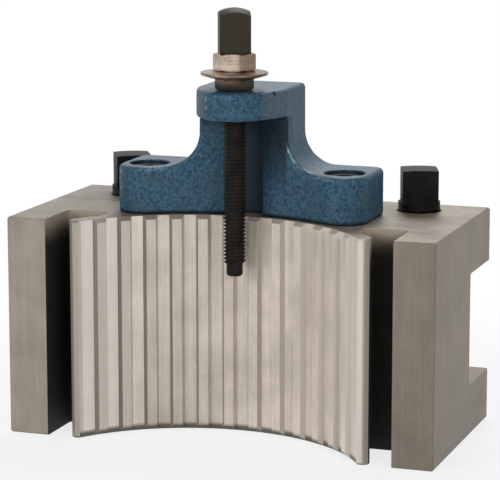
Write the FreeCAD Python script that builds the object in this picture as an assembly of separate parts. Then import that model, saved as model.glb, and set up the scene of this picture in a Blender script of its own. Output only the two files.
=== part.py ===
import FreeCAD, Part
import math
import os

# Multi-position quick-change tool holder for square-shank lathe tools. Millimetres, +Z up.
# The origin is the centre of the flat base. -Y is the serrated side that meets the tool
# post, +Y is the open tool slot, X runs along the holder.

# Holder block
BLOCK_LENGTH = 120.0
BLOCK_DEPTH = 58.0
BLOCK_HEIGHT = 60.0
EDGE_BREAK = 0.5

# Serrated seat, a hollow that fits round a splined post
SPLINE_AXIS_STANDOFF = 24.5
SPLINE_TIP_RADIUS = 44.9
SPLINE_HEIGHT = 1.3
SPLINES_PER_TURN = 40
SPLINE_RIDGES = 12
SPLINE_CREST_WIDTH = 2.6
SPLINE_FLANK_WIDTH = 0.75
SEAT_LEAD_ANGLE = 35.0
SEAT_LEAD_AT_BASE = 0.7
SEAT_LEAD_AT_TOP = 0.1

# Claw grooves, one at each end of the seat
LIP_THICKNESS = 3.9
LIP_CORNER = 1.3
CLAW_MOUTH_INNER = 42.0
CLAW_OUTER = 48.7
CLAW_INNER = 36.5
CLAW_DEPTH = 16.3
CLAW_CORNER = 2.2

# Tool slot in the back
SLOT_FLOOR = 14.3
SLOT_CEILING = 45.3
SLOT_DEPTH = 21.5
SLOT_CORNER = 0.8

# Clamp screws, a row of four through the upper jaw
CLAMP_COUNT = 4
CLAMP_FROM_END = 17.5
CLAMP_FROM_BACK = 10.75
CLAMP_THREAD = 11.8
CLAMP_LENGTH = 25.0
CLAMP_STAND_ENDS = 2.0
CLAMP_STAND_MIDDLE = 0.6
CLAMP_TIP_CHAMFER = 1.2
CLAMP_HEAD = 9.8
CLAMP_HEAD_HEIGHT = 9.6
CLAMP_HEAD_DOME = 0.2
CLAMP_HEAD_ANGLE = 20.0
CLAMP_ANGLE_STEP = 33.0
CLAMP_MOUTH_CHAMFER = 0.3

# Height bracket, one casting screwed to the top of the block
BRACKET_GAP_TO_SPLINE = 1.5
FOOT_HALF_LENGTH = 35.5
FOOT_HEIGHT = 13.0
FOOT_BACK = 9.5
FOOT_FRONT_ROUND = 7.0
FOOT_BACK_ROUND = 3.0
NECK_HALF = 12.7
NECK_FLARE = 9.5
SLAB_TOP = 95.2
SLAB_THICKNESS = 7.5
SLAB_NOSE = 8.6
SLAB_NOSE_HALF = 4.3
SLAB_CHEEK_HALF = 8.0
SLAB_CHEEK_LEAD = 4.6
SLAB_SHOULDER_LAG = 6.0
SLAB_NOSE_ROUND = 2.0
SLAB_SHOULDER_ROUND = 6.0
CAST_ROUND = 1.2
CHANNEL_HALF = 5.2
CHANNEL_DEPTH = 4.0

# Socket cap screws that hold the bracket
CAP_SPREAD = 28.0
CAP_ROW = -4.5
CAP_HEAD = 10.0
CAP_HEAD_HEIGHT = 6.0
CAP_HEAD_ROUND = 0.5
CAP_SOCKET = 5.0
CAP_SOCKET_DEPTH = 3.2
CAP_THREAD = 6.0
CAP_LENGTH = 16.0
COUNTERBORE = 11.0
COUNTERBORE_DEPTH = 7.0

# Height screw and the stack of nuts on it
SCREW_ROW = -13.5
SCREW_THREAD = 6.0
SCREW_THREAD_END = 48.4
SCREW_POINT = 4.4
SCREW_POINT_LENGTH = 3.5
SCREW_HEAD = 8.3
SCREW_HEAD_HEIGHT = 11.0
SCREW_HEAD_DOME = 1.0
SCREW_HEAD_ANGLE = 24.0
LOCK_NUT_FLATS = 9.0
LOCK_NUT_HEIGHT = 3.2
LOCK_NUT_ANGLE = 21.0
WASHER_DIAMETER = 18.0
WASHER_HEIGHT = 2.0
WASHER_HOLE = 6.4
WASHER_TAPER = 3.0
WASHER_TAPER_BELOW = 0.9
WASHER_TAPER_ABOVE = 0.4
COLLAR_FLATS = 10.0
COLLAR_HEIGHT = 4.7
COLLAR_ANGLE = 14.0
NUT_CROWN = 0.4
NUT_FACE_SHARE = 0.96

# Fits
THREAD_CLEARANCE = 0.05
HOLE_RUNOUT = 1.5

FRONT = -BLOCK_DEPTH / 2
BACK = BLOCK_DEPTH / 2
AXIS_Y = FRONT - SPLINE_AXIS_STANDOFF
ROOT_RADIUS = SPLINE_TIP_RADIUS + SPLINE_HEIGHT
FOOT_RADIUS = ROOT_RADIUS + BRACKET_GAP_TO_SPLINE
LIP_BACK_RADIUS = ROOT_RADIUS + LIP_THICKNESS
FOOT_TOP = BLOCK_HEIGHT + FOOT_HEIGHT
SLAB_BOTTOM = SLAB_TOP - SLAB_THICKNESS
CLAMP_ROW = BACK - CLAMP_FROM_BACK
PAST = 1.0


def vec(x, y, z=0.0):
    return FreeCAD.Vector(x, y, z)


def line(a, b):
    return Part.LineSegment(a, b).toShape()


def arc(a, middle, b):
    return Part.Arc(a, middle, b).toShape()


def prism(edges, bottom, height):
    face = Part.Face(Part.Wire(edges))
    face.translate(vec(0, 0, bottom))
    return face.extrude(vec(0, 0, height))


def polygon(points):
    return [line(a, b) for a, b in zip(points, points[1:] + points[:1])]


def box(x0, x1, y0, y1, z0, z1):
    return Part.makeBox(x1 - x0, y1 - y0, z1 - z0, vec(x0, y0, z0))


def rod(x, y, bottom, top, diameter):
    return Part.makeCylinder(diameter / 2, top - bottom, vec(x, y, bottom))


def cone(x, y, bottom, top, bottom_diameter, top_diameter):
    return Part.makeCone(bottom_diameter / 2, top_diameter / 2, top - bottom, vec(x, y, bottom))


def mirrored(shape):
    return shape.mirror(vec(0, 0), vec(1, 0))


def edges_where(shape, test):
    return [edge for edge in shape.Edges if test(edge)]


def is_vertical(edge):
    size = edge.BoundBox
    return size.XLength < 1e-4 and size.YLength < 1e-4


def lies_at(edge, z):
    size = edge.BoundBox
    return size.ZLength < 1e-4 and abs(size.Center.z - z) < 1e-4


def near(edge, x, y, reach=0.05):
    middle = edge.BoundBox.Center
    return abs(middle.x - x) < reach and abs(middle.y - y) < reach


def on_circle(radius, degrees):
    angle = math.radians(degrees)
    return vec(radius * math.sin(angle), AXIS_Y + radius * math.cos(angle))


def y_on_circle(radius, x):
    return AXIS_Y + math.sqrt(radius ** 2 - x ** 2)


# Serrated seat: the space that the splined post fills, ridge by ridge
def post_space():
    pitch = 360.0 / SPLINES_PER_TURN
    crest = math.degrees(SPLINE_CREST_WIDTH / 2 / SPLINE_TIP_RADIUS)
    foot = math.degrees((SPLINE_CREST_WIDTH / 2 + SPLINE_FLANK_WIDTH) / ROOT_RADIUS)
    reach = math.degrees(math.asin(CLAW_MOUTH_INNER / ROOT_RADIUS))
    last = -reach
    edges = []
    for index in range(SPLINE_RIDGES):
        centre = (index - (SPLINE_RIDGES - 1) / 2) * pitch
        entry = centre - foot
        root_middle = on_circle(ROOT_RADIUS, (last + entry) / 2)
        edges.append(arc(on_circle(ROOT_RADIUS, last), root_middle, on_circle(ROOT_RADIUS, entry)))
        left = on_circle(SPLINE_TIP_RADIUS, centre - crest)
        right = on_circle(SPLINE_TIP_RADIUS, centre + crest)
        edges.append(line(on_circle(ROOT_RADIUS, entry), left))
        edges.append(arc(left, on_circle(SPLINE_TIP_RADIUS, centre), right))
        edges.append(line(right, on_circle(ROOT_RADIUS, centre + foot)))
        last = centre + foot
    start = on_circle(ROOT_RADIUS, -reach)
    end = on_circle(ROOT_RADIUS, reach)
    edges.append(arc(on_circle(ROOT_RADIUS, last), on_circle(ROOT_RADIUS, (last + reach) / 2), end))
    edges.append(line(end, vec(end.x, AXIS_Y)))
    edges.append(line(vec(end.x, AXIS_Y), vec(start.x, AXIS_Y)))
    edges.append(line(vec(start.x, AXIS_Y), start))
    return prism(edges, -PAST, BLOCK_HEIGHT + 2 * PAST)


# Lead-ins: at both ends of the seat a cone takes off the ends of the ridges
def seat_lead(beyond_roots):
    widest = ROOT_RADIUS + beyond_roots + PAST
    narrowest = SPLINE_TIP_RADIUS - PAST
    rise = math.tan(math.radians(SEAT_LEAD_ANGLE))
    below = vec(0, AXIS_Y, -PAST * rise)
    return Part.makeCone(widest, narrowest, (widest - narrowest) * rise, below)


def seat_leads():
    base = seat_lead(SEAT_LEAD_AT_BASE)
    top = seat_lead(SEAT_LEAD_AT_TOP).mirror(vec(0, 0, BLOCK_HEIGHT / 2), vec(0, 0, 1))
    return [base, top]


# Claw groove: a mouth in the front face that widens inwards behind the lip
def claw_groove():
    height = BLOCK_HEIGHT + 2 * PAST
    back = FRONT + CLAW_DEPTH
    mouth = [
        vec(CLAW_MOUTH_INNER - LIP_CORNER, FRONT - PAST),
        vec(CLAW_MOUTH_INNER - LIP_CORNER, FRONT),
        vec(CLAW_MOUTH_INNER, FRONT + LIP_CORNER),
        vec(CLAW_MOUTH_INNER, back),
        vec(CLAW_OUTER, back),
        vec(CLAW_OUTER, FRONT - PAST),
    ]
    groove = prism(polygon(mouth), -PAST, height)
    inner = vec(CLAW_INNER, y_on_circle(LIP_BACK_RADIUS, CLAW_INNER))
    outer = vec(CLAW_MOUTH_INNER, y_on_circle(LIP_BACK_RADIUS, CLAW_MOUTH_INNER))
    middle_x = (CLAW_INNER + CLAW_MOUTH_INNER) / 2
    middle = vec(middle_x, y_on_circle(LIP_BACK_RADIUS, middle_x))
    pocket = prism([
        arc(inner, middle, outer),
        line(outer, vec(CLAW_MOUTH_INNER, back)),
        line(vec(CLAW_MOUTH_INNER, back), vec(CLAW_INNER, back)),
        line(vec(CLAW_INNER, back), inner),
    ], -PAST, height)
    groove = groove.fuse(pocket).removeSplitter()
    corners = [(CLAW_INNER, inner.y), (CLAW_INNER, back), (CLAW_OUTER, back)]
    rounded = edges_where(groove, lambda e: is_vertical(e) and any(near(e, x, y) for x, y in corners))
    return groove.makeFillet(CLAW_CORNER, rounded)


def tool_slot():
    slot = box(-BLOCK_LENGTH / 2 - PAST, BLOCK_LENGTH / 2 + PAST,
               BACK - SLOT_DEPTH, BACK + PAST, SLOT_FLOOR, SLOT_CEILING)
    inner = edges_where(slot, lambda e: e.BoundBox.XLength > BLOCK_LENGTH
                        and abs(e.BoundBox.Center.y - (BACK - SLOT_DEPTH)) < 1e-4)
    return slot.makeFillet(SLOT_CORNER, inner)


def clamp_places():
    first = CLAMP_FROM_END - BLOCK_LENGTH / 2
    pitch = (BLOCK_LENGTH - 2 * CLAMP_FROM_END) / (CLAMP_COUNT - 1)
    return [first + pitch * index for index in range(CLAMP_COUNT)]


# Holder body: steel block with the seat, both claw grooves, the slot and the screw holes
def holder_body():
    body = box(-BLOCK_LENGTH / 2, BLOCK_LENGTH / 2, FRONT, BACK, 0, BLOCK_HEIGHT)
    body = body.makeChamfer(EDGE_BREAK, body.Edges)
    groove = claw_groove()
    body = body.cut([post_space(), groove, mirrored(groove), tool_slot()])
    body = body.cut(seat_leads())
    bore = CLAMP_THREAD + 2 * THREAD_CLEARANCE
    mouth = bore + 2 * CLAMP_MOUTH_CHAMFER
    for x in clamp_places():
        hole = rod(x, CLAMP_ROW, SLOT_CEILING - PAST, BLOCK_HEIGHT + PAST, bore)
        sink = cone(x, CLAMP_ROW, BLOCK_HEIGHT - CLAMP_MOUTH_CHAMFER, BLOCK_HEIGHT, bore, mouth)
        body = body.cut([hole, sink])
    shank_end = FOOT_TOP - COUNTERBORE_DEPTH - CAP_LENGTH
    for x in (-CAP_SPREAD, CAP_SPREAD):
        tapped = CAP_THREAD + 2 * THREAD_CLEARANCE
        body = body.cut(rod(x, CAP_ROW, shank_end - HOLE_RUNOUT, BLOCK_HEIGHT + PAST, tapped))
    return body


# Outline of the slab, whose rounded nose reaches out over the seat to carry the height screw
def slab_outline():
    nose_y = SCREW_ROW - SLAB_NOSE
    cheek_y = SCREW_ROW - SLAB_CHEEK_LEAD
    shoulder_y = SCREW_ROW + SLAB_SHOULDER_LAG
    right = vec(NECK_HALF, shoulder_y)
    left = vec(-NECK_HALF, shoulder_y)
    back_right = vec(NECK_HALF, FOOT_BACK)
    back_left = vec(-NECK_HALF, FOOT_BACK)
    tip_right = vec(SLAB_NOSE_HALF, nose_y)
    tip_left = vec(-SLAB_NOSE_HALF, nose_y)
    return [
        line(right, back_right),
        line(back_right, back_left),
        line(back_left, left),
        arc(left, vec(-SLAB_CHEEK_HALF, cheek_y), tip_left),
        line(tip_left, tip_right),
        arc(tip_right, vec(SLAB_CHEEK_HALF, cheek_y), right),
    ]


def slab():
    plate = prism(slab_outline(), SLAB_BOTTOM, SLAB_THICKNESS)
    corners = edges_where(plate, is_vertical)
    back = [edge for edge in corners if edge.BoundBox.Center.y > FOOT_BACK - 1e-4]
    nose = [edge for edge in corners if edge.BoundBox.Center.y < SCREW_ROW]
    plate = plate.makeFillet(CAST_ROUND, back).makeFillet(SLAB_NOSE_ROUND, nose)
    shoulder_y = SCREW_ROW + SLAB_SHOULDER_LAG
    shoulders = edges_where(plate, lambda e: is_vertical(e) and abs(e.BoundBox.Center.y - shoulder_y) < 1e-4)
    plate = plate.makeFillet(SLAB_SHOULDER_ROUND, shoulders)
    return plate.makeFillet(CAST_ROUND, edges_where(plate, lambda e: lies_at(e, SLAB_TOP)))


# Front view of the feet and the neck between them, with a flare on each side
def foot_and_neck_profile():
    def at(x, z):
        return vec(x, FRONT, z)

    flare_end = NECK_HALF + NECK_FLARE
    flare_top = FOOT_TOP + NECK_FLARE
    bend = NECK_FLARE * (1 - math.sqrt(0.5))
    return [
        line(at(-FOOT_HALF_LENGTH, BLOCK_HEIGHT), at(FOOT_HALF_LENGTH, BLOCK_HEIGHT)),
        line(at(FOOT_HALF_LENGTH, BLOCK_HEIGHT), at(FOOT_HALF_LENGTH, FOOT_TOP)),
        line(at(FOOT_HALF_LENGTH, FOOT_TOP), at(flare_end, FOOT_TOP)),
        arc(at(flare_end, FOOT_TOP), at(NECK_HALF + bend, FOOT_TOP + bend), at(NECK_HALF, flare_top)),
        line(at(NECK_HALF, flare_top), at(NECK_HALF, SLAB_BOTTOM)),
        line(at(NECK_HALF, SLAB_BOTTOM), at(-NECK_HALF, SLAB_BOTTOM)),
        line(at(-NECK_HALF, SLAB_BOTTOM), at(-NECK_HALF, flare_top)),
        arc(at(-NECK_HALF, flare_top), at(-NECK_HALF - bend, FOOT_TOP + bend), at(-flare_end, FOOT_TOP)),
        line(at(-flare_end, FOOT_TOP), at(-FOOT_HALF_LENGTH, FOOT_TOP)),
        line(at(-FOOT_HALF_LENGTH, FOOT_TOP), at(-FOOT_HALF_LENGTH, BLOCK_HEIGHT)),
    ]


def foot_and_neck():
    face = Part.Face(Part.Wire(foot_and_neck_profile()))
    shape = face.extrude(vec(0, FOOT_BACK - FRONT, 0))
    shape = shape.cut(rod(0, AXIS_Y, BLOCK_HEIGHT - PAST, SLAB_TOP, 2 * FOOT_RADIUS))
    ends = edges_where(shape, lambda e: is_vertical(e) and e.BoundBox.ZMin < BLOCK_HEIGHT + 1e-4)
    front = [edge for edge in ends if edge.BoundBox.Center.y < 0]
    rear = [edge for edge in ends if edge.BoundBox.Center.y > 0]
    shape = shape.makeFillet(FOOT_FRONT_ROUND, front).makeFillet(FOOT_BACK_ROUND, rear)
    across = edges_where(shape, lambda e: lies_at(e, FOOT_TOP) and e.BoundBox.XLength < 1e-4
                         and abs(e.BoundBox.Center.x) < FOOT_HALF_LENGTH - 1e-4)
    rims = edges_where(shape, lambda e: e.BoundBox.ZMin > FOOT_TOP - 1e-4
                       and e.BoundBox.ZMin < SLAB_BOTTOM - 1e-4
                       and not any(e.isSame(other) for other in across))
    return shape.makeFillet(CAST_ROUND, rims)


# Height bracket: two feet, a flared neck with a channel, and the slab over the screw
def height_bracket():
    casting = foot_and_neck().fuse(slab())
    channel = box(-CHANNEL_HALF, CHANNEL_HALF, AXIS_Y + SPLINE_TIP_RADIUS,
                  AXIS_Y + FOOT_RADIUS + CHANNEL_DEPTH, BLOCK_HEIGHT - PAST, SLAB_BOTTOM)
    casting = casting.cut(channel)
    bore = SCREW_THREAD + 2 * THREAD_CLEARANCE
    casting = casting.cut(rod(0, SCREW_ROW, SLAB_BOTTOM - PAST, SLAB_TOP + PAST, bore))
    shank = CAP_THREAD + 2 * THREAD_CLEARANCE
    for x in (-CAP_SPREAD, CAP_SPREAD):
        hole = rod(x, CAP_ROW, BLOCK_HEIGHT - PAST, FOOT_TOP, shank)
        sink = rod(x, CAP_ROW, FOOT_TOP - COUNTERBORE_DEPTH, FOOT_TOP + PAST, COUNTERBORE)
        casting = casting.cut([hole, sink])
    return casting


def hexagon(x, y, flats, turn):
    corner = flats / math.sqrt(3)
    points = []
    for index in range(6):
        angle = math.radians(turn + 60 * index)
        points.append(vec(x + corner * math.cos(angle), y + corner * math.sin(angle)))
    return polygon(points)


# Socket cap screw that holds one foot of the bracket
def bracket_screw(x):
    seat = FOOT_TOP - COUNTERBORE_DEPTH
    head = rod(x, CAP_ROW, seat, seat + CAP_HEAD_HEIGHT, CAP_HEAD)
    rim = edges_where(head, lambda e: lies_at(e, seat + CAP_HEAD_HEIGHT))
    head = head.makeFillet(CAP_HEAD_ROUND, rim)
    socket = prism(hexagon(x, CAP_ROW, CAP_SOCKET, 0), seat + CAP_HEAD_HEIGHT - CAP_SOCKET_DEPTH,
                   CAP_SOCKET_DEPTH + PAST)
    shank = rod(x, CAP_ROW, seat - CAP_LENGTH, seat, CAP_THREAD)
    return head.cut(socket).fuse(shank)


# Nut with its crown turned down at both faces and a plain bore
def nut(bottom, flats, height, turn, bore):
    blank = prism(hexagon(0, SCREW_ROW, flats, turn), bottom, height)
    across_corners = flats * 2 / math.sqrt(3)
    flat_top = flats * NUT_FACE_SHARE
    lower = cone(0, SCREW_ROW, bottom, bottom + NUT_CROWN, flat_top, across_corners)
    middle = rod(0, SCREW_ROW, bottom + NUT_CROWN, bottom + height - NUT_CROWN, across_corners)
    upper = cone(0, SCREW_ROW, bottom + height - NUT_CROWN, bottom + height, across_corners, flat_top)
    crowned = blank.common(lower.fuse([middle, upper]))
    return crowned.cut(rod(0, SCREW_ROW, bottom - PAST, bottom + height + PAST, bore))


# Square head whose top is turned to a shallow dome
def square_head(x, y, bottom, height, flats, dome, turn):
    half = flats / 2
    head = box(x - half, x + half, y - half, y + half, bottom, bottom + height + dome)
    head.rotate(vec(x, y), vec(0, 0, 1), turn)
    radius = (half ** 2 + dome ** 2) / (2 * dome)
    ball = Part.makeSphere(radius, vec(x, y, bottom + height + dome - radius))
    return head.common(ball.fuse(rod(x, y, bottom, bottom + height, 3 * flats)))


# Height screw: square head, running thread and a turned-down point that rests on the post
def height_screw():
    thread_top = SLAB_TOP + LOCK_NUT_HEIGHT + WASHER_HEIGHT + COLLAR_HEIGHT
    head = square_head(0, SCREW_ROW, thread_top, SCREW_HEAD_HEIGHT, SCREW_HEAD,
                       SCREW_HEAD_DOME, SCREW_HEAD_ANGLE)
    thread = rod(0, SCREW_ROW, SCREW_THREAD_END, thread_top, SCREW_THREAD)
    point = rod(0, SCREW_ROW, SCREW_THREAD_END - SCREW_POINT_LENGTH, SCREW_THREAD_END, SCREW_POINT)
    return head.fuse([thread, point])


# Nut stack on the slab: lock nut, thrust washer, and the collar nut fixed to the screw
def lock_nut():
    return nut(SLAB_TOP, LOCK_NUT_FLATS, LOCK_NUT_HEIGHT, LOCK_NUT_ANGLE,
               SCREW_THREAD + 2 * THREAD_CLEARANCE)


def thrust_washer():
    bottom = SLAB_TOP + LOCK_NUT_HEIGHT
    top = bottom + WASHER_HEIGHT
    flat = WASHER_DIAMETER - 2 * WASHER_TAPER
    lower = cone(0, SCREW_ROW, bottom, bottom + WASHER_TAPER_BELOW, flat, WASHER_DIAMETER)
    rim = rod(0, SCREW_ROW, bottom + WASHER_TAPER_BELOW, top - WASHER_TAPER_ABOVE, WASHER_DIAMETER)
    upper = cone(0, SCREW_ROW, top - WASHER_TAPER_ABOVE, top, WASHER_DIAMETER, flat)
    disc = lower.fuse([rim, upper]).removeSplitter()
    return disc.cut(rod(0, SCREW_ROW, bottom - PAST, top + PAST, WASHER_HOLE))


def collar_nut():
    bottom = SLAB_TOP + LOCK_NUT_HEIGHT + WASHER_HEIGHT
    return nut(bottom, COLLAR_FLATS, COLLAR_HEIGHT, COLLAR_ANGLE, SCREW_THREAD + 2 * THREAD_CLEARANCE)


# Clamp screw that presses the tool shank onto the slot floor
def clamp_screw(x, turn, stand):
    head_bottom = BLOCK_HEIGHT + stand
    tip_end = head_bottom - CLAMP_LENGTH
    chamfered = CLAMP_THREAD - 2 * CLAMP_TIP_CHAMFER
    tip = cone(x, CLAMP_ROW, tip_end, tip_end + CLAMP_TIP_CHAMFER, chamfered, CLAMP_THREAD)
    thread = rod(x, CLAMP_ROW, tip_end + CLAMP_TIP_CHAMFER, head_bottom, CLAMP_THREAD)
    head = square_head(x, CLAMP_ROW, head_bottom, CLAMP_HEAD_HEIGHT, CLAMP_HEAD, CLAMP_HEAD_DOME, turn)
    return head.fuse([tip, thread])


def all_parts():
    parts = {
        "holder_body": holder_body(),
        "height_bracket": height_bracket(),
        "bracket_screw_left": bracket_screw(-CAP_SPREAD),
        "bracket_screw_right": bracket_screw(CAP_SPREAD),
        "height_screw": height_screw(),
        "collar_nut": collar_nut(),
        "thrust_washer": thrust_washer(),
        "lock_nut": lock_nut(),
    }
    for index, x in enumerate(clamp_places()):
        turn = CLAMP_HEAD_ANGLE + (CLAMP_COUNT - 1 - index) * CLAMP_ANGLE_STEP
        stand = CLAMP_STAND_ENDS if index in (0, CLAMP_COUNT - 1) else CLAMP_STAND_MIDDLE
        parts["clamp_screw_%d" % (index + 1)] = clamp_screw(x, turn, stand)
    return parts


os.makedirs("parts", exist_ok=True)
for name, shape in all_parts().items():
    shape.exportStep("parts/%s.step" % name)
    print(name, len(shape.Solids), shape.isValid(), round(shape.Volume))
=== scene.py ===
import math

import bpy
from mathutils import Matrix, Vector


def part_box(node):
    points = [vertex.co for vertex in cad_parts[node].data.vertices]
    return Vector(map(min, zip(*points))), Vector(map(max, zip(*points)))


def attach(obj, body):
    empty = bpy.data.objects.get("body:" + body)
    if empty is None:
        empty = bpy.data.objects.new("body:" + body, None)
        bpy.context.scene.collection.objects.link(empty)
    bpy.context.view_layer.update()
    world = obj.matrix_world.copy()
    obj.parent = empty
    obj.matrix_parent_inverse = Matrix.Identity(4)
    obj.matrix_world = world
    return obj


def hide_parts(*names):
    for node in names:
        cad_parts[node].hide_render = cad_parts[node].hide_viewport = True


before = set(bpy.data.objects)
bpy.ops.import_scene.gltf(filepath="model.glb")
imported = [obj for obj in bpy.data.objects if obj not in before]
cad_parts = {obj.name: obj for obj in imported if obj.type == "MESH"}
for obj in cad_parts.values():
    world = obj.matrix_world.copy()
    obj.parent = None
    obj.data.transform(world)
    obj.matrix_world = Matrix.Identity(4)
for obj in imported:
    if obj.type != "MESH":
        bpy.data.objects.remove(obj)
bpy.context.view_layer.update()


# Holder block: one piece of tool steel, milled all over and ground on the outside. The splined
# seat is finished brightest, so that it finds its place on the post. The two claw grooves are
# painted dark with shade, and every edge is broken with a stone.
MM = 0.001
EDGE_BREAK = 0.22 * MM
WELD = 0.001 * MM
FLAT = math.radians(0.4)
SMOOTH_BELOW = math.radians(32)


class Wire:
    """A value on its way through a finish. Python's operators add the Math nodes."""

    def __init__(self, finish, socket):
        self.finish = finish
        self.socket = socket

    def math(self, operation, *values):
        return self.finish.node("Math", {"operation": operation}, dict(enumerate(values)))

    def __add__(self, other):
        return self.math("ADD", self, other)

    def __sub__(self, other):
        return self.math("SUBTRACT", self, other)

    def __rsub__(self, other):
        return self.math("SUBTRACT", other, self)

    def __mul__(self, other):
        return self.math("MULTIPLY", self, other)

    def __truediv__(self, other):
        return self.math("DIVIDE", self, other)

    def __pow__(self, other):
        return self.math("POWER", self, other)

    __radd__ = __add__
    __rmul__ = __mul__

    def size(self):
        return self.math("ABSOLUTE", self)

    def larger(self, other):
        return self.math("MAXIMUM", self, other)

    def rise(self, low, high):
        """0 below low and 1 above high, with a soft ramp between them."""
        ramp = {"interpolation_type": "SMOOTHSTEP"}
        ends = {"Value": self, "From Min": low, "From Max": high}
        return self.finish.node("MapRange", ramp, ends)

    def fall(self, low, high):
        return 1 - self.rise(low, high)


def colour(red, green, blue):
    """A colour as it shows on a screen, 0 to 255, made linear."""
    def linear(value):
        share = value / 255
        return share / 12.92 if share <= 0.04045 else ((share + 0.055) / 1.055) ** 2.4

    return (linear(red), linear(green), linear(blue), 1.0)


class Finish:
    """One material, built node by node round a Principled shader."""

    def __init__(self, name, **fixed):
        self.material = bpy.data.materials.new(name)
        self.material.use_nodes = True
        self.tree = self.material.node_tree
        self.shader = self.tree.nodes["Principled BSDF"]
        for socket, value in fixed.items():
            self.shader.inputs[socket.replace("_", " ")].default_value = value
        self.place = self.node("TexCoord", out="Object")
        apart = self.tree.nodes.new("ShaderNodeSeparateXYZ")
        self.tree.links.new(self.place.socket, apart.inputs[0])
        self.x, self.y, self.z = (Wire(self, socket) / MM for socket in apart.outputs)

    def join(self, value, socket):
        if isinstance(value, Wire):
            self.tree.links.new(value.socket, socket)
        else:
            socket.default_value = value

    def node(self, kind, settings=None, inputs=None, out=0):
        made = self.tree.nodes.new("ShaderNode" + kind)
        for name, value in (settings or {}).items():
            setattr(made, name, value)
        for name, value in (inputs or {}).items():
            self.join(value, made.inputs[name])
        return Wire(self, made.outputs[out])

    def blend(self, share, first, second, mode="MIX"):
        settings = {"data_type": "RGBA", "blend_type": mode}
        return self.node("Mix", settings, {0: share, 6: first, 7: second}, out=2)

    def grain(self, spacing, detail=2.0, roughness=0.5, stretch=(1, 1, 1)):
        """Noise with lumps about this many millimetres apart, longer along a stretched axis."""
        scale = tuple(1 / (MM * spacing * share) for share in stretch)
        spot = self.node("Mapping", None, {"Vector": self.place, "Scale": scale})
        inputs = {"Vector": spot, "Scale": 1.0, "Detail": detail, "Roughness": roughness}
        return self.node("TexNoise", None, inputs)

    def wear(self, height, depth):
        """Relief in the surface, from a height of 0 to 1 and its depth in millimetres."""
        inputs = {"Height": height, "Distance": depth * MM, "Strength": 1.0}
        self.join(self.node("Bump", None, inputs), self.shader.inputs["Normal"])

    def surface(self, **wires):
        for socket, value in wires.items():
            self.join(value, self.shader.inputs[socket.replace("_", " ")])


def take(piece):
    bpy.ops.object.select_all(action="DESELECT")
    piece.select_set(True)
    bpy.context.view_layer.objects.active = piece


def modify(piece, kind, **settings):
    take(piece)
    modifier = piece.modifiers.new(kind, kind)
    for name, value in settings.items():
        setattr(modifier, name, value)
    bpy.ops.object.modifier_apply(modifier=modifier.name)


def casting_of(node, name):
    """A copy of a CAD node's form as a piece of its own, its loose triangles joined to faces."""
    piece = bpy.data.objects.new(name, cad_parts[node].data.copy())
    bpy.context.scene.collection.objects.link(piece)
    piece.data.materials.clear()
    take(piece)
    bpy.ops.object.mode_set(mode="EDIT")
    bpy.ops.mesh.select_all(action="SELECT")
    bpy.ops.mesh.remove_doubles(threshold=WELD)
    bpy.ops.mesh.dissolve_limited(angle_limit=FLAT)
    bpy.ops.object.mode_set(mode="OBJECT")
    return piece


def break_edges(piece, width):
    modify(piece, "BEVEL", width=width, segments=2, limit_method="ANGLE", angle_limit=SMOOTH_BELOW)
    bpy.ops.object.shade_smooth_by_angle(angle=SMOOTH_BELOW)
    modify(piece, "WEIGHTED_NORMAL", keep_sharp=True, weight=100)


def coat_faces(piece, finish, test):
    """Gives this finish to the faces whose middle and normal pass the test."""
    piece.data.materials.append(finish.material)
    index = len(piece.data.materials) - 1
    for face in piece.data.polygons:
        if test(face.center, face.normal):
            face.material_index = index


def coat_all(piece, finish):
    coat_faces(piece, finish, lambda middle, normal: True)


LEFT_END = -45
RIGHT_END = 50


def ground_steel(name, light, dark, lay, roughness, light_at_far_end):
    """Steel with fine grinding lines along one axis and faint clouds. Towards +X its colour is
    multiplied by its last argument, painted light and shade across the piece."""
    steel = Finish(name, Metallic=0.4)
    lines = steel.grain(0.22, detail=3.0, stretch=lay)
    streaks = steel.grain(0.9, detail=2.0, stretch=lay)
    clouds = steel.grain(14.0, detail=4.0, roughness=0.6)
    specks = steel.grain(0.9, detail=5.0, roughness=0.75)
    tone = clouds * 0.45 + streaks * 0.2 + lines * 0.2 + specks * 0.15
    base = steel.blend(tone.rise(0.38, 0.62), dark, light)
    far_light_tint = colour(light_at_far_end * 255, light_at_far_end * 253, light_at_far_end * 250)
    far_light_base = steel.blend(1.0, base, far_light_tint, "MULTIPLY")
    base = steel.blend(steel.x.rise(LEFT_END, RIGHT_END), base, far_light_base)
    steel.surface(Base_Color=base, Roughness=roughness + lines * 0.16 - 0.08)
    steel.wear(lines * 0.7 + specks * 0.3, 0.018)
    steel.base = base
    return steel


block_low, block_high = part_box("holder_body")
FRONT = block_low.y
SEAT_AXIS = FRONT - 24.5 * MM
SEAT_REACH = 46.35 * MM
SEAT_EDGE = 38.2 * MM
GROOVE_INNER = 36.4 * MM
GROOVE_OUTER = 48.8 * MM
GROOVE_DEPTH = 16.4 * MM
LIP_CORNER = 1.35 * MM
LIP_OUTER = 42.05 * MM
LEAD_REACH = 47.2 * MM
LEAD_HEIGHT = 2 * MM
ALONG_X = (60, 1, 1)
ALONG_Z = (1, 1, 60)

holder = casting_of("holder_body", "holder_block")
break_edges(holder, EDGE_BREAK)
milled = ground_steel("milled_steel", colour(154, 143, 132), colour(134, 124, 113),
                      ALONG_Z, 0.5, 0.84)
seat_steel = ground_steel("seat_steel", colour(201, 192, 182), colour(172, 163, 153),
                          ALONG_Z, 0.42, 1.1)
top_steel = ground_steel("top_steel", colour(134, 126, 115), colour(96, 90, 81),
                         ALONG_X, 0.5, 1.12)
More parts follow.
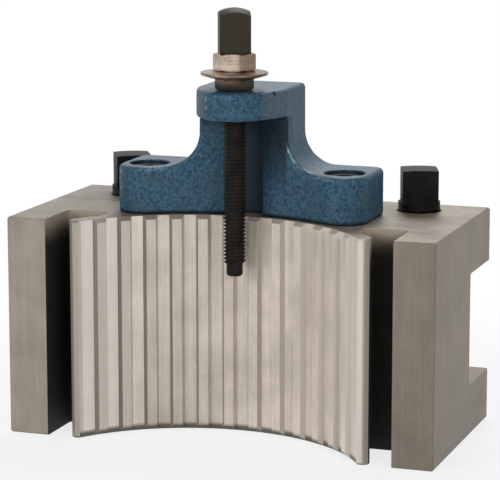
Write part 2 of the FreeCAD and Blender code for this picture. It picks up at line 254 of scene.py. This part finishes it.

# The ends of the seat carry painted light, brighter than the rest. Towards its left the teeth are
# a little darker than the gaps between them, and painted shade darkens the foot.
TEETH_TO_A_TURN = 40
around = seat_steel.x.math("ARCTAN2", seat_steel.x, seat_steel.y - SEAT_AXIS / MM)
count = around * (TEETH_TO_A_TURN / math.tau)
tooth = count.math("PINGPONG", count, 0.5)
lit_ends = seat_steel.x.size().rise(20, 38)
darker_teeth = tooth.rise(0.25, 0.32) * seat_steel.x.fall(-32, -6)
foot_shade = seat_steel.z.fall(1.0, 2.4) * 0.9
seat_base = seat_steel.blend(lit_ends * 0.55, seat_steel.base, colour(246, 238, 230))
seat_base = seat_steel.blend(darker_teeth * 0.4, seat_base, colour(138, 126, 116))
seat_base = seat_steel.blend(foot_shade, seat_base, colour(58, 53, 45))
seat_steel.surface(Base_Color=seat_base)

# The flanks of the splines are dull as the broach cut them, and painted in shade, darker towards the
# left.
shaded_flank_steel = Finish("shaded_flank_steel", Metallic=0.3)
flank_shade = shaded_flank_steel.blend(shaded_flank_steel.x.rise(-36, 36), colour(124, 113, 103), colour(190, 180, 170))
flank_lines = shaded_flank_steel.grain(0.22, stretch=ALONG_Z)
shaded_flank_steel.surface(Base_Color=flank_shade, Roughness=0.5 + flank_lines * 0.1)

# The lips end in a narrow flat with painted light, brighter on the right, and a darker corner outside
# it.
lip_steel = Finish("lip_steel", Metallic=0.3)
lip_flat = lip_steel.blend(lip_steel.x.rise(-38, 38), colour(158, 150, 138), colour(206, 196, 186))
lip_base = lip_steel.blend(lip_steel.x.size().rise(40.2, 41.4), lip_flat, colour(142, 136, 128))
lip_lines = lip_steel.grain(0.22, stretch=ALONG_Z)
lip_steel.surface(Base_Color=lip_base, Roughness=0.45 + lip_lines * 0.1)

# The lead-in at the foot of the seat faces the floor and is painted nearly black with shade.
lead_in_shade = Finish("lead_in_shade", Metallic=0.2)
lead_shade_tone = lead_in_shade.blend(lead_in_shade.grain(1.2, detail=3.0), colour(46, 42, 36), colour(84, 78, 68))
lead_in_shade.surface(Base_Color=lead_shade_tone, Roughness=0.5 + lead_in_shade.grain(0.3) * 0.1)

# The grooves are painted with light and shade: brown-grey near the mouth at the top, where light
# reaches, and black further down.
groove_shade = Finish("groove_shade", Metallic=0.2)
lit_near_mouth = groove_shade.z.rise(51, 61) ** 1.5
deep_shade = groove_shade.blend(groove_shade.grain(3.0, detail=4.0), colour(14, 12, 10), colour(36, 31, 26))
groove_base = groove_shade.blend(lit_near_mouth, deep_shade, colour(172, 159, 143))
groove_lines = groove_shade.grain(0.3, stretch=ALONG_Z)
groove_shade.surface(Base_Color=groove_base, Roughness=0.6 + groove_lines * 0.2)


def on_seat(middle, normal):
    from_axis = math.hypot(middle.x, middle.y - SEAT_AXIS)
    return from_axis < SEAT_REACH and abs(middle.x) < LIP_OUTER and abs(normal.z) < 0.9


def on_flank(middle, normal):
    """The flanks that turn away from the middle of the seat."""
    outward = Vector((middle.x, middle.y - SEAT_AXIS)).normalized()
    slant = abs(outward.x * normal.x + outward.y * normal.y)
    return on_seat(middle, normal) and slant < 0.8 and normal.x * middle.x > 0


def on_lip_end(middle, normal):
    """The flat that ends a lip, and the corner outside it, but not the splines that turn inward."""
    across = SEAT_EDGE < abs(middle.x) < LIP_OUTER and middle.y < FRONT + LIP_CORNER
    forward = normal.y < -0.3 and abs(normal.z) < 0.3
    inward = normal.x * middle.x < -0.15 * abs(middle.x)
    return across and forward and not inward


def near_post(middle):
    return math.hypot(middle.x, middle.y - SEAT_AXIS) < LEAD_REACH


def on_lead(middle, normal):
    return near_post(middle) and middle.z < LEAD_HEIGHT and -0.95 < normal.z < -0.4


def on_top_lead(middle, normal):
    return near_post(middle) and middle.z > block_high.z - LEAD_HEIGHT and 0.3 < normal.z < 0.96


def on_top(middle, normal):
    return normal.z > 0.9 and middle.z > block_high.z - MM


def in_groove(middle, normal):
    across = GROOVE_INNER < abs(middle.x) < GROOVE_OUTER
    inside = FRONT + LIP_CORNER < middle.y < FRONT + GROOVE_DEPTH
    return across and inside and abs(normal.z) < 0.5 and not on_seat(middle, normal)


coat_all(holder, milled)
coat_faces(holder, top_steel, on_top)
coat_faces(holder, seat_steel, on_seat)
coat_faces(holder, shaded_flank_steel, on_flank)
coat_faces(holder, groove_shade, in_groove)
coat_faces(holder, lip_steel, on_lip_end)
coat_faces(holder, lead_in_shade, on_lead)
# The lead-in at the top takes the painted shade of the flanks, which tones down its highlight.
coat_faces(holder, shaded_flank_steel, on_top_lead)
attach(holder, "holder")
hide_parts("holder_body")


# Height bracket: a grey-iron casting with two feet, a flared neck and a slab over the seat. It is
# painted in blue hammered enamel, which pools in between, with painted highlights on its edges and
# painted shade in its hollows. The channel in its front leaves room for the screw.
PIT = 0.5 * MM
PIT_PLACE = (10.9 * MM, -12.6 * MM, 94.5 * MM)
SKIN = 0.45 * MM
SKIN_LUMPS = 2.2 * MM
SKIN_DEPTH = 0.12 * MM
CHANNEL_FACE = 47.9
CHANNEL_FLOOR = 52.4
FOOT_TOP = 73.0
FLARE = 9.5
FLARE_X = 22.2
SLAB_UNDERSIDE = 87.7
SINK_X = 28
SINK_Y = -4.5
SINK_RADIUS = 5.5


def cut_with(piece, tool, operation):
    modify(piece, "BOOLEAN", object=tool, operation=operation, solver="MANIFOLD")
    bpy.data.objects.remove(tool)


bracket = casting_of("height_bracket", "bracket_casting")

# A gas pit from the casting is left open in the right cheek of the slab.
bpy.ops.object.select_all(action="DESELECT")
bpy.ops.mesh.primitive_ico_sphere_add(subdivisions=2, radius=PIT, location=PIT_PLACE)
bpy.ops.object.transform_apply(location=True, rotation=True, scale=True)
cut_with(bracket, bpy.context.object, "DIFFERENCE")
modify(bracket, "REMESH", mode="VOXEL", voxel_size=SKIN)
modify(bracket, "SMOOTH", factor=0.5, iterations=5)
hammer = bpy.data.textures.new("hammer_skin", "CLOUDS")
hammer.noise_scale = SKIN_LUMPS
modify(bracket, "DISPLACE", texture=hammer, texture_coords="LOCAL", strength=SKIN_DEPTH, mid_level=0.5)
bpy.ops.object.shade_smooth()

enamel = Finish("hammered_enamel", Metallic=0.1, Specular_IOR_Level=0.12, Coat_Roughness=0.2)
lumps = enamel.grain(0.9, detail=3.0, roughness=0.6)
pools = enamel.grain(5.0, detail=4.0, roughness=0.6)
flakes = enamel.grain(0.4, detail=2.0, roughness=0.7)
blue = enamel.blend(lumps.rise(0.34, 0.66), colour(34, 62, 80), colour(62, 94, 115))
blue = enamel.blend(pools.rise(0.48, 0.7) * 0.5, blue, colour(62, 82, 88))
blue = enamel.blend(flakes.rise(0.62, 0.72) * 0.4, blue, colour(108, 136, 154))
from_axis = (enamel.x ** 2 + (enamel.y - SEAT_AXIS / MM) ** 2) ** 0.5

# The right cheek of the slab is greyer, and the convex edges carry a painted highlight.
on_slab = enamel.z.rise(SLAB_UNDERSIDE - 0.4, SLAB_UNDERSIDE + 0.4) * enamel.y.fall(-9, -7)
blue = enamel.blend(enamel.x.rise(8, 10.5) * on_slab * 0.35, blue, colour(104, 112, 120))
edge_highlight = enamel.node("NewGeometry", out="Pointiness").rise(0.52, 0.6)
highlight_blue = colour(132, 152, 164)
blue = enamel.blend(edge_highlight * 0.55, blue, highlight_blue)

# Painted highlights run along the front edge of the feet and of the right flare.
on_front_face = from_axis.fall(CHANNEL_FACE + 0.3, CHANNEL_FACE + 1)
patchy = lumps.rise(0.36, 0.58)
foot_edge_highlight = enamel.z.rise(FOOT_TOP - 1.5, FOOT_TOP - 0.4) * enamel.x.size().rise(19, 23)
blue = enamel.blend(foot_edge_highlight * on_front_face * patchy * 0.5, blue, highlight_blue)
from_flare = ((enamel.x - FLARE_X) ** 2 + (enamel.z - FOOT_TOP - FLARE) ** 2) ** 0.5
flare_edge_highlight = from_flare.rise(FLARE - 0.3, FLARE) * from_flare.fall(FLARE + 0.3, FLARE + 1.0)
flare_edge_highlight = flare_edge_highlight * enamel.x.rise(11, 12) * enamel.x.fall(15.5, 18) * enamel.z.fall(78.5, 80.5)
blue = enamel.blend(flare_edge_highlight * on_front_face * patchy * 0.8, blue, colour(156, 178, 190))

# Painted shade darkens the channel, under the slab, beside the screw, in the counterbores, along
# the foot and in the pit.
in_front = from_axis.fall(CHANNEL_FLOOR, CHANNEL_FLOOR + 0.4)
below = enamel.z.fall(SLAB_UNDERSIDE - 0.3, SLAB_UNDERSIDE + 0.5) * in_front
in_channel = from_axis.rise(CHANNEL_FACE, CHANNEL_FACE + 1.2) * enamel.x.size().fall(5.3, 6.5) * below
under_slab = enamel.z.rise(82, 87) * below
beside_screw = enamel.z.rise(62, 82) * below * enamel.x.rise(-3, 4) * enamel.x.fall(12.4, 13)
from_sink = ((enamel.x.size() - SINK_X) ** 2 + (enamel.y - SINK_Y) ** 2) ** 0.5
in_sink = from_sink.fall(SINK_RADIUS, SINK_RADIUS + 0.2)
at_foot = enamel.z.fall(60.3, 61.4)
apart = [(wire - place / MM) ** 2 for wire, place in zip((enamel.x, enamel.y, enamel.z), PIT_PLACE)]
in_pit = ((apart[0] + apart[1] + apart[2]) ** 0.5).fall(PIT / MM, PIT / MM + 0.25)
painted_shade = in_channel
for more in (under_slab * 0.75, beside_screw, in_sink, at_foot, in_pit):
    painted_shade = painted_shade.larger(more)
blue = enamel.blend(painted_shade * 0.85, blue, colour(14, 22, 30))

# What faces up keeps more gloss.
level = enamel.node("NewGeometry", out="Normal")
lift = enamel.tree.nodes.new("ShaderNodeSeparateXYZ")
enamel.tree.links.new(level.socket, lift.inputs[0])
gloss = Wire(enamel, lift.outputs[2]).rise(0.4, 0.95)
enamel.surface(Base_Color=blue, Roughness=0.4 + pools * 0.2, Coat_Weight=0.04 + gloss * 0.2)
enamel.wear(lumps * 0.7 + flakes * 0.3, 0.06)
coat_all(bracket, enamel)
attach(bracket, "holder")
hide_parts("height_bracket")


# Bracket screws: two socket cap screws with blackened heads, sunk in the counterbores of the
# feet. Each clamps its foot to the block and is not touched again.
def black_oxide(name, light, dark, roughness):
    """Steel blackened in hot oil, with a brown cast where the film is thin."""
    oxide = Finish(name, Metallic=0.1, Specular_IOR_Level=0.1)
    clouds = oxide.grain(5.0, detail=4.0, roughness=0.65)
    grit = oxide.grain(0.5, detail=3.0, roughness=0.7)
    film = oxide.blend((clouds * 0.6 + grit * 0.4).rise(0.36, 0.66), dark, light)
    oxide.surface(Base_Color=film, Roughness=roughness + grit * 0.2 - 0.1)
    oxide.wear(grit, 0.02)
    oxide.film = film
    return oxide


CAP_EDGE = 0.2 * MM

cap_black = black_oxide("cap_screw_black", colour(26, 26, 28), colour(12, 12, 13), 0.5)
for side in ("left", "right"):
    cap_screw = casting_of("bracket_screw_" + side, "cap_screw_" + side)
    break_edges(cap_screw, CAP_EDGE)
    coat_all(cap_screw, cap_black)
    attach(cap_screw, "holder")
    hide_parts("bracket_screw_" + side)


# Lock nut: a thin blackened hexagon nut, run down hard on the slab. It takes up the play in the
# height screw's thread.
def nut_from(node, name, width, finish, body):
    nut = casting_of(node, name)
    break_edges(nut, width)
    coat_all(nut, finish)
    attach(nut, body)
    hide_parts(node)
    return nut


nut_black = black_oxide("nut_black", colour(66, 61, 54), colour(38, 35, 31), 0.4)
# A brown painted reflection of the washer lies on the upper left of the nut, and painted shade darkens
# its foot on the slab.
washer_reflection = nut_black.z.rise(96.4, 98.2) * nut_black.x.fall(0.5, 4.5)
nut_base = nut_black.blend(washer_reflection * 0.8, nut_black.film, colour(136, 108, 86))
nut_base = nut_black.blend(nut_black.z.fall(95.6, 96.8) * 0.7, nut_base, colour(16, 15, 14))
nut_black.surface(Base_Color=nut_base)
nut_from("lock_nut", "thin_lock_nut", 0.1 * MM, nut_black, "holder")


# Height screw: a long set screw with a square head for the tool key. The thread runs down in
# front of the seat to a turned point, which rests on the top of the post and sets the height.
THREAD_STEPS = 28
PAST_END = 0.61
CREST_CLEAR = 0.15 * MM
OFF_SEAM = 0.031
SCREW_DIAMETER = 6.0 * MM
SCREW_PITCH = 1.0 * MM
SCREW_POINT = 4.4 * MM
SCREW_POINT_LENGTH = 3.5 * MM
SCREW_CHAMFER = 0.4 * MM
SCREW_HEAD = 8.3 * MM
SCREW_DOME = 1.0 * MM
HEAD_EDGE = 0.3 * MM
THREAD_HEIGHT = 0.613
CUT_TOLERANCE = 1e-8
SCREW_TURN = math.radians(24)


def turned(x, y, bottom, top, diameter, bottom_diameter=None, sides=48):
    """A short turned length, tapered if its bottom has another diameter. It stands a little off
    the thread's seam, so that no edge of one lies along an edge of the other."""
    bpy.ops.object.select_all(action="DESELECT")
    bpy.ops.mesh.primitive_cone_add(
        vertices=sides, radius1=(bottom_diameter or diameter) / 2, radius2=diameter / 2,
        depth=top - bottom, location=(x, y, (bottom + top) / 2), rotation=(0, 0, OFF_SEAM))
    bpy.ops.object.transform_apply(location=True, rotation=True, scale=True)
    return bpy.context.object


def threaded(x, y, bottom, top, diameter, pitch, chamfer):
    """A rod with a real thread: one groove's outline is wound past both ends of a turned blank,
    and what lies outside the blank is cut off. The blank clears the crests between its ends."""
    depth = THREAD_HEIGHT * pitch
    root = diameter / 2 - depth
    bpy.ops.object.select_all(action="DESELECT")
    bpy.ops.mesh.primitive_plane_add(size=pitch, location=(0, 0, 0))
    rod = bpy.context.object
    bpy.ops.object.mode_set(mode="EDIT")
    bpy.ops.mesh.merge(type="CENTER")
    bpy.ops.transform.translate(value=(root, 0, bottom - 2 * pitch))
    for step in ((0, pitch / 4), (depth, pitch * 5 / 16), (0, pitch / 8), (-depth, pitch * 5 / 16)):
        move = {"value": (step[0], 0, step[1])}
        bpy.ops.mesh.extrude_region_move(TRANSFORM_OT_translate=move)
    bpy.ops.object.mode_set(mode="OBJECT")
    turns = math.ceil((top - bottom) / pitch) + 4
    modify(rod, "SCREW", axis="Z", angle=math.tau, screw_offset=pitch, iterations=turns,
           steps=THREAD_STEPS, render_steps=THREAD_STEPS, use_merge_vertices=True)
    bpy.ops.object.mode_set(mode="EDIT")
    bpy.ops.mesh.select_all(action="SELECT")
    bpy.ops.mesh.remove_doubles(threshold=WELD)
    for level, side in ((bottom - PAST_END * pitch, False), (top + PAST_END * pitch, True)):
        bpy.ops.mesh.select_all(action="SELECT")
        bpy.ops.mesh.bisect(plane_co=(0, 0, level), plane_no=(0, 0, 1), use_fill=True,
                            threshold=CUT_TOLERANCE, clear_inner=not side, clear_outer=side)
    bpy.ops.mesh.select_all(action="SELECT")
    bpy.ops.mesh.normals_make_consistent(inside=False)
    bpy.ops.transform.translate(value=(x, y, 0))
    bpy.ops.object.mode_set(mode="OBJECT")
    wide = diameter + 2 * CREST_CLEAR
    shoulder = bottom + chamfer + CREST_CLEAR
    blank = turned(x, y, bottom, shoulder, wide, diameter - 2 * chamfer)
    cut_with(blank, turned(x, y, shoulder, top, wide), "UNION")
    cut_with(rod, blank, "INTERSECT")
    return rod


def square_head(name, x, y, bottom, top, flats, dome, turn):
    """A forged square head. Its top is turned to a shallow dome, which rounds off the corners."""
    bpy.ops.object.select_all(action="DESELECT")
    bpy.ops.mesh.primitive_cube_add(size=1, location=(x, y, (bottom + top) / 2),
                                    rotation=(0, 0, turn))
    head = bpy.context.object
    head.name = name
    head.scale = (flats, flats, top - bottom)
    bpy.ops.object.transform_apply(location=True, rotation=True, scale=True)
    radius = ((flats / 2) ** 2 + dome ** 2) / (2 * dome)
    bpy.ops.object.select_all(action="DESELECT")
    bpy.ops.mesh.primitive_uv_sphere_add(segments=96, ring_count=192, radius=radius,
                                         location=(x, y, top - radius))
    ball = bpy.context.object
    bpy.ops.object.transform_apply(location=True, rotation=True, scale=True)
    cut_with(head, ball, "INTERSECT")
    return head


screw_black = black_oxide("height_screw_black", colour(38, 33, 30), colour(20, 17, 16), 0.5)
on_head = screw_black.z.rise(105, 106)
screw_black.surface(Base_Color=screw_black.blend(on_head * 0.7, screw_black.film, colour(56, 51, 42)))

screw_low, screw_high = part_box("height_screw")
SCREW_X = (screw_low.x + screw_high.x) / 2
SCREW_Y = (screw_low.y + screw_high.y) / 2
collar_low, collar_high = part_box("collar_nut")
height_screw = square_head("height_screw_full", SCREW_X, SCREW_Y, collar_high.z, screw_high.z,
                           SCREW_HEAD, SCREW_DOME, SCREW_TURN)
break_edges(height_screw, HEAD_EDGE)
thread_end = screw_low.z + SCREW_POINT_LENGTH
thread = threaded(SCREW_X, SCREW_Y, thread_end, collar_high.z + MM, SCREW_DIAMETER, SCREW_PITCH,
                  SCREW_CHAMFER)
shoulder = screw_low.z + SCREW_CHAMFER
point = turned(SCREW_X, SCREW_Y, shoulder, thread_end + MM, SCREW_POINT)
tip = turned(SCREW_X, SCREW_Y, screw_low.z, shoulder, SCREW_POINT, 0.8 * SCREW_POINT)
cut_with(point, tip, "UNION")
cut_with(thread, point, "UNION")
cut_with(height_screw, thread, "UNION")
bpy.ops.object.shade_smooth_by_angle(angle=SMOOTH_BELOW)
coat_all(height_screw, screw_black)
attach(height_screw, "spindle")
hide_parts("height_screw")


# Thrust washer and collar nut: bright turned parts under the head. The nut is locked to the
# screw, and the wide washer keeps chips out of the thread below it.
def bright_plating(name, light, dark, stain_and_shade):
    plating = Finish(name, Metallic=0.6)
    rings = plating.grain(0.3, detail=1.0, stretch=(80, 80, 1))
    clouds = plating.grain(1.6, detail=4.0, roughness=0.6)
    base = plating.blend((rings * 0.3 + clouds * 0.7).rise(0.4, 0.62), dark, light)
    base = plating.blend(clouds.rise(0.6, 0.72) * 0.5, base, stain_and_shade)
    # Painted shade in the stain colour darkens the right side, and a band low on the nut carries a
    # painted highlight.
    right_side_shade = plating.x.rise(2.5, 3.3) * 0.75
    lip = plating.z.rise(100.4, 101.2) * plating.z.fall(101.4, 103.2) * 0.55
    base = plating.blend(right_side_shade, plating.blend(lip, base, colour(226, 206, 180)), stain_and_shade)
    plating.surface(Base_Color=base, Roughness=0.3 + clouds * 0.15)
    plating.wear(rings, 0.02)
    return plating


bright = bright_plating("bright_plating", colour(190, 172, 156), colour(146, 128, 112),
                        colour(108, 82, 64))
dull = bright_plating("washer_plating", colour(142, 124, 108), colour(104, 88, 74),
                      colour(84, 64, 50))
nut_from("thrust_washer", "wide_washer", 0.15 * MM, dull, "rise")
nut_from("collar_nut", "bright_collar_nut", 0.12 * MM, bright, "spindle")


# Clamp screws: four blackened set screws in a row through the upper jaw, with square heads that
# fit the same key. Each has a chamfered tip that bites on the tool shank.
CLAMP_DIAMETER = 11.8 * MM
CLAMP_PITCH = 1.75 * MM
CLAMP_HEAD = 9.8 * MM
CLAMP_LENGTH = 25.0 * MM
CLAMP_COLLAR = 2.6 * MM
CLAMP_DOME = 0.2 * MM
TIP_CHAMFER = 1.2 * MM
FIRST_TURN = math.radians(20)
TURN_STEP = math.radians(33)

clamp_black = black_oxide("clamp_screw_black", colour(24, 23, 21), colour(11, 10, 9), 0.5)
for number in range(1, 5):
    low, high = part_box("clamp_screw_%d" % number)
    x = (low.x + high.x) / 2
    y = (low.y + high.y) / 2
    neck = low.z + CLAMP_LENGTH
    screw = square_head("set_screw_%d" % number, x, y, neck, high.z, CLAMP_HEAD, CLAMP_DOME,
                        FIRST_TURN + (4 - number) * TURN_STEP)
    break_edges(screw, HEAD_EDGE)
    collar = turned(x, y, neck - CLAMP_COLLAR, neck + 0.5 * MM, 0.98 * CLAMP_DIAMETER)
    stem = threaded(x, y, low.z, neck - CLAMP_COLLAR / 2, CLAMP_DIAMETER, CLAMP_PITCH, TIP_CHAMFER)
    cut_with(stem, collar, "UNION")
    cut_with(screw, stem, "UNION")
    bpy.ops.object.shade_smooth_by_angle(angle=SMOOTH_BELOW)
    coat_all(screw, clamp_black)
    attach(screw, "clamp_%d" % number)
    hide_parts("clamp_screw_%d" % number)


# Studio: a white floor that keeps a soft shadow and fades into a white surround, three soft
# lamps, and the camera a little to the right of the seat and above it.
FLOOR_REACH = 3.0
FLOOR_DROP = 0.05 * MM
FLOOR_GLOW = 0.78
FADE_FROM = 80
FADE_TO = 200
WORLD_LIGHT = 0.33
LAMP_AIM = (0, 0, 0.05)


def seen(finish):
    """1 for the rays that should find a white background: camera, glossy and transmission."""
    path = finish.tree.nodes.new("ShaderNodeLightPath")
    camera_ray, glossy_ray, through_ray = (
        Wire(finish, path.outputs["Is %s Ray" % ray]) for ray in ("Camera", "Glossy", "Transmission"))
    return camera_ray.larger(glossy_ray).larger(through_ray)


bpy.ops.object.select_all(action="DESELECT")
bpy.ops.mesh.primitive_circle_add(vertices=96, radius=FLOOR_REACH, fill_type="NGON",
                                  location=(0, 0, -FLOOR_DROP))
floor = bpy.context.object
floor.name = "floor"
paper = Finish("white_paper", Roughness=0.9)
paper.surface(Base_Color=colour(236, 236, 236))
fade = ((paper.x ** 2 + paper.y ** 2) ** 0.5).rise(FADE_FROM, FADE_TO)
glow = paper.node("Emission", None, {"Color": (1, 1, 1, 1), "Strength": 1.0})
mixed = paper.tree.nodes.new("ShaderNodeMixShader")
paper.join(seen(paper) * (FLOOR_GLOW + fade * (1 - FLOOR_GLOW)), mixed.inputs[0])
paper.tree.links.new(paper.shader.outputs[0], mixed.inputs[1])
paper.tree.links.new(glow.socket, mixed.inputs[2])
paper.tree.links.new(mixed.outputs[0], paper.tree.nodes["Material Output"].inputs[0])
floor.data.materials.append(paper.material)

world = bpy.data.worlds.new("studio")
bpy.context.scene.world = world
world.use_nodes = True
background = world.node_tree.nodes["Background"]
background.inputs["Color"].default_value = (1, 1, 1, 1)
path = world.node_tree.nodes.new("ShaderNodeLightPath")


def world_math(operation, first, second):
    made = world.node_tree.nodes.new("ShaderNodeMath")
    made.operation = operation
    for index, value in enumerate((first, second)):
        if isinstance(value, float):
            made.inputs[index].default_value = value
        else:
            world.node_tree.links.new(value, made.inputs[index])
    return made.outputs[0]


straight = world_math("MAXIMUM", path.outputs["Is Camera Ray"], path.outputs["Is Glossy Ray"])
straight = world_math("MAXIMUM", straight, path.outputs["Is Transmission Ray"])
strength = world_math("ADD", world_math("MULTIPLY", straight, 1 - WORLD_LIGHT), WORLD_LIGHT)
world.node_tree.links.new(strength, background.inputs["Strength"])


def lamp(name, place, size, power):
    data = bpy.data.lights.new(name, "AREA")
    data.shape = "DISK"
    data.size = size
    data.energy = power
    light = bpy.data.objects.new(name, data)
    bpy.context.scene.collection.objects.link(light)
    light.location = place
    light.rotation_euler = (Vector(LAMP_AIM) - light.location).to_track_quat("-Z", "Y").to_euler()


lamp("back", (-0.1, 0.5, 0.7), 0.4, 3.1)
lamp("left", (-0.4, -0.62, 0.3), 0.3, 1.8)
lamp("right", (0.52, -0.6, 0.3), 0.3, 2.1)

CAMERA_PLACE = (0.21008, -0.59724, 0.17113)
CAMERA_TURN = (80.294, 0.0, 19.297)
camera_data = bpy.data.cameras.new("camera")
camera_data.lens = 169.1
camera_data.shift_x = -0.0092
camera_data.shift_y = -0.0767
camera = bpy.data.objects.new("camera", camera_data)
bpy.context.scene.collection.objects.link(camera)
camera.location = CAMERA_PLACE
camera.rotation_euler = [math.radians(angle) for angle in CAMERA_TURN]
bpy.context.scene.camera = camera
bpy.context.scene.view_settings.view_transform = "Standard"
